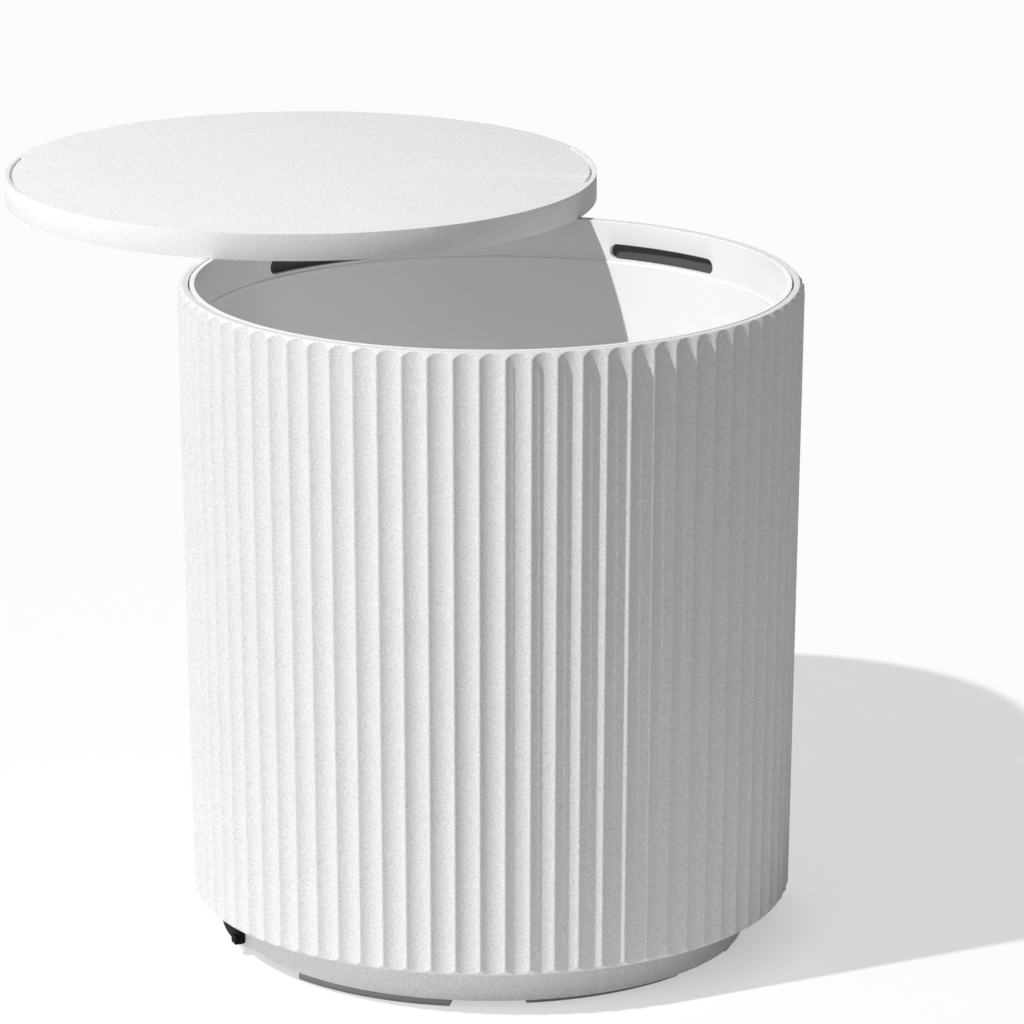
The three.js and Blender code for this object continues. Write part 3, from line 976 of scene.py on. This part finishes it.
def make_cap():
    inner = boss_radius + seat_gap
    outer = inner + cap_thickness
    profile = ring_profile(inner, outer, cap_lift, cap_lift + cap_height)
    plate = bevel(sector(turned("cap", profile), cap_half_span), cap_edge, segments=4)
    tab_start = inner + cap_thickness / 3
    tab_end = outer + cap_tab_reach
    profile = ring_profile(tab_start, tab_end, cap_lift, cap_lift + cap_tab_height)
    tab = bevel(sector(turned("tab", profile), cap_tab_span / 2), cap_tab_edge)
    tab = turn_to(tab, cap_half_span - cap_tab_span / 2)
    plate = combine(plate, tab, "UNION")
    plug_start = boss_radius - cap_plug_length
    plug_end = outer - seat_gap * 4
    plug = outward_rod("plug", cap_plug_radius, plug_start, plug_end, outlet_height, 0)
    return turn_to(combine(plate, plug, "UNION"), outlet_bearing)


place(smooth(make_cap()), "cap", "cap_rubber", "drain_cap")


# Bucket


def slot_cutter(bearing):
    """A rod whose two halves are drawn apart, so that it cuts a long hole with round ends."""
    bpy.ops.object.select_all(action="DESELECT")
    bpy.ops.mesh.primitive_cylinder_add(
        vertices=rod_steps,
        radius=slot_height / 2,
        depth=slot_cutter_length,
        rotation=(0, math.pi / 2, 0),
    )
    cutter = settle(named("slot_cutter"))
    for vertex in cutter.data.vertices:
        side = 1 if vertex.co.y > 0 else -1
        vertex.co.y += side * (slot_width - slot_height) / 2
    middle = rim_height - slot_depth - slot_height / 2
    cutter.location = (bucket_radius - slot_cutter_inset, 0, middle)
    settle(cutter)
    return turn_to(cutter, bearing)


def make_bucket():
    inside = bucket_radius - bucket_wall
    foot_inside_radius = bucket_foot_radius - bucket_wall
    bottom = bucket_low.z + sump_depth
    collar = rim_height - collar_depth
    floor_top = bottom + bucket_floor
    floor_edge = floor_top + bucket_floor_fall
    sump_low = bucket_low.z
    sump_top = sump_low + bucket_floor
    profile = [
        (drain_hole, sump_low),
        (sump_radius, sump_low),
        (sump_radius + sump_slope, bottom),
        *corner(bucket_foot_radius, bottom, bucket_corner, 1),
        (bucket_radius - collar_step, collar - collar_step),
        (bucket_radius, collar),
        (bucket_radius, rim_height),
        (inside, rim_height),
        (inside, collar),
        (inside - collar_step, collar - collar_step / 2),
        *corner(foot_inside_radius, floor_edge, bucket_corner - bucket_wall, -1),
        (sump_radius, floor_top),
        (sump_radius - sump_slope, sump_top),
        (drain_hole, sump_top),
        (drain_hole, sump_low),
    ]
    bucket = turned("bucket", profile)
    for bearing in slot_bearings:
        bucket = combine(bucket, slot_cutter(bearing), "DIFFERENCE")
    return bevel(bucket, bucket_edge, segments=4)


place(smooth(make_bucket()), "bucket", "bucket_plastic", "ice_bucket")


# Top


def make_top():
    low, high = top_low.z, top_high.z
    top = turned("top", [(0, low), (top_radius, low), (top_radius, high), (0, high)])
    inner = groove_radius - groove_width / 2
    outer = groove_radius + groove_width / 2
    profile = ring_profile(inner, outer, high - groove_depth, high + groove_depth)
    for bearing in (0, 180):
        groove = turned("groove", profile)
        groove = turn_to(sector(groove, groove_half_span), bearing)
        top = combine(top, groove, "DIFFERENCE")
    top = turn_to(bevel(top, top_edge), top_turn)
    top.location = (top_centre.x, top_centre.y, 0)
    return settle(top)


place(smooth(make_top()), "top", "stone_composite", "table_top", finish="top_stone")


# Drain fitting and stopper in the bucket


def make_stopper():
    head_low = flange_high.z + seat_gap
    head_high = head_low + stopper_head_thickness
    knob_low = head_low + stopper_knob_lift
    profile = [
        (0, stopper_low.z),
        (stopper_plug - stopper_taper, stopper_low.z),
        (stopper_plug, head_low),
        (stopper_head, head_low),
        (stopper_head, head_high),
        (stopper_neck, head_high),
        (stopper_neck, knob_low),
        (stopper_knob, knob_low),
        (stopper_knob, stopper_high.z),
        (0, stopper_high.z),
    ]
    return bevel(turned("stopper", profile, small_steps), stopper_edge)


place(smooth(make_stopper()), "stopper", "seal_rubber", "drain_stopper")


def make_flange():
    low = flange_high.z - flange_thickness
    profile = [
        (drain_bore, flange_low.z),
        (drain_tube, flange_low.z),
        (drain_tube, low),
        (flange_radius, low),
        (flange_radius, flange_high.z),
        (drain_bore, flange_high.z),
        (drain_bore, flange_low.z),
    ]
    return bevel(turned("flange", profile, small_steps), flange_edge)


place(smooth(make_flange()), "bucket", "bucket_plastic", "drain_flange")


# Nodes that keep their own shape get the finish of their slot

node_slots = {row["node"]: row["material_slot"] for row in frame["record"]["subparts"]}
for name, node in frame["nodes"].items():
    slot = node_slots.get(name, "seal_rubber")
    if slot in finishes:
        dress(node, slot)
